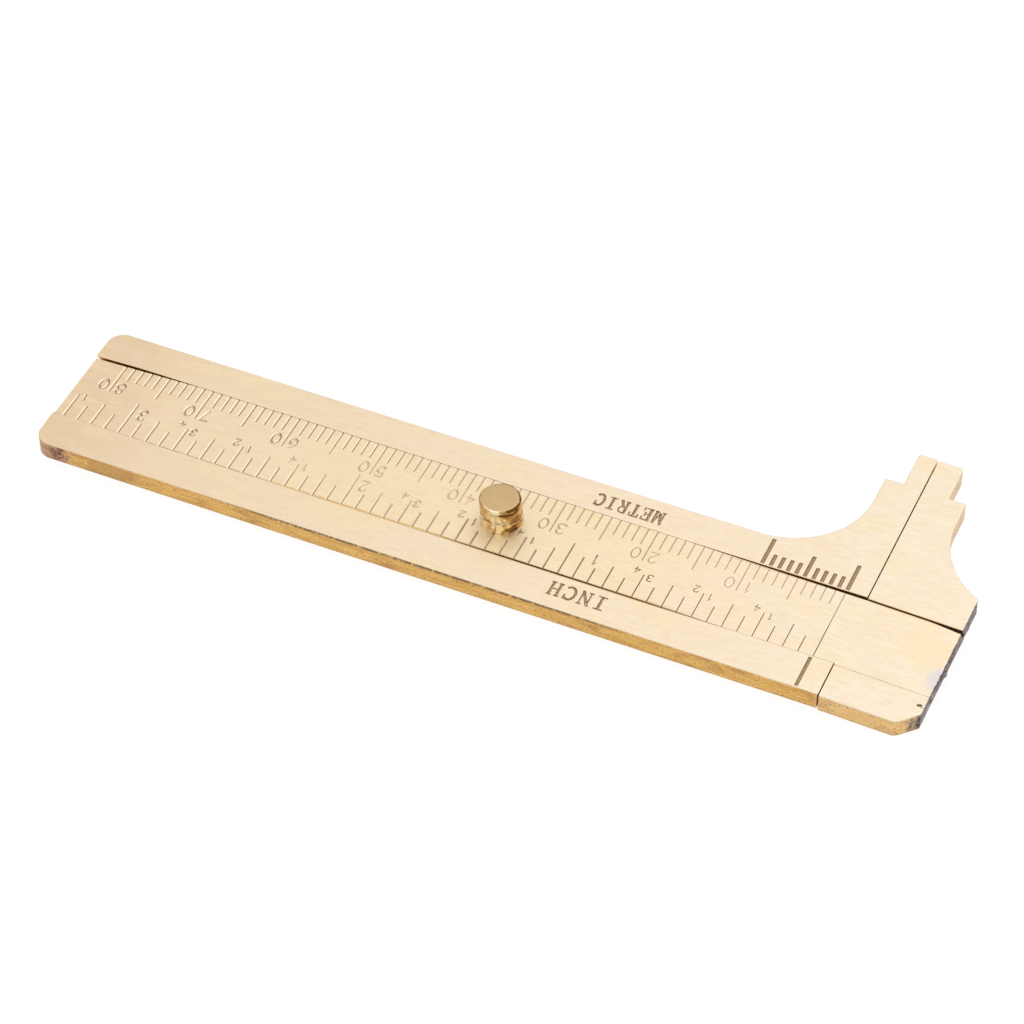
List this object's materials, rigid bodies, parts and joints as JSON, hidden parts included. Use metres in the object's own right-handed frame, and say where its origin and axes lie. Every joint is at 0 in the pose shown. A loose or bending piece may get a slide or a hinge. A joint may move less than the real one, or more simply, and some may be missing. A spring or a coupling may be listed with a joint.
{
  "type": "pocket sliding caliper",
  "caption": "Flat sliding caliper with stepped beak jaws, millimetre and inch scales, a vernier and a small round thumb knob.",
  "frame": {"origin": "on the back rest face, on the centreline of the slide bar, under the zero line of the scales", "axes": "+X along the slide bar, the way the moving jaw opens; +Y from the bar towards the jaw tips; +Z out of the graduated face"},
  "size_m": [0.0962, 0.0353, 0.0052],
  "materials": {
    "frame_brass": "pale brass, finely brushed lengthwise on the faces, darker yellow sawn edges with brown specks",
    "bar_brass": "pale brass, finely brushed lengthwise, with fine stamped lines and numerals",
    "head_brass": "pale brass, finely brushed, with a dull grey soldered end",
    "knob_brass": "turned and polished golden brass with a satin top",
    "solder": "dull grey soft solder, lumpy"
  },
  "bodies": {
    "fixed_body": {"frame": "frame_brass"},
    "slider": {"slide_bar": "bar_brass", "moving_jaw": "head_brass", "thumb_knob": "knob_brass", "solder": "solder"}
  },
  "joints": [
    {"name": "jaw_slide", "type": "slide", "parent": "fixed_body", "child": "slider", "axis": [1, 0, 0], "range_m": [0, 0.08]}
  ]
}
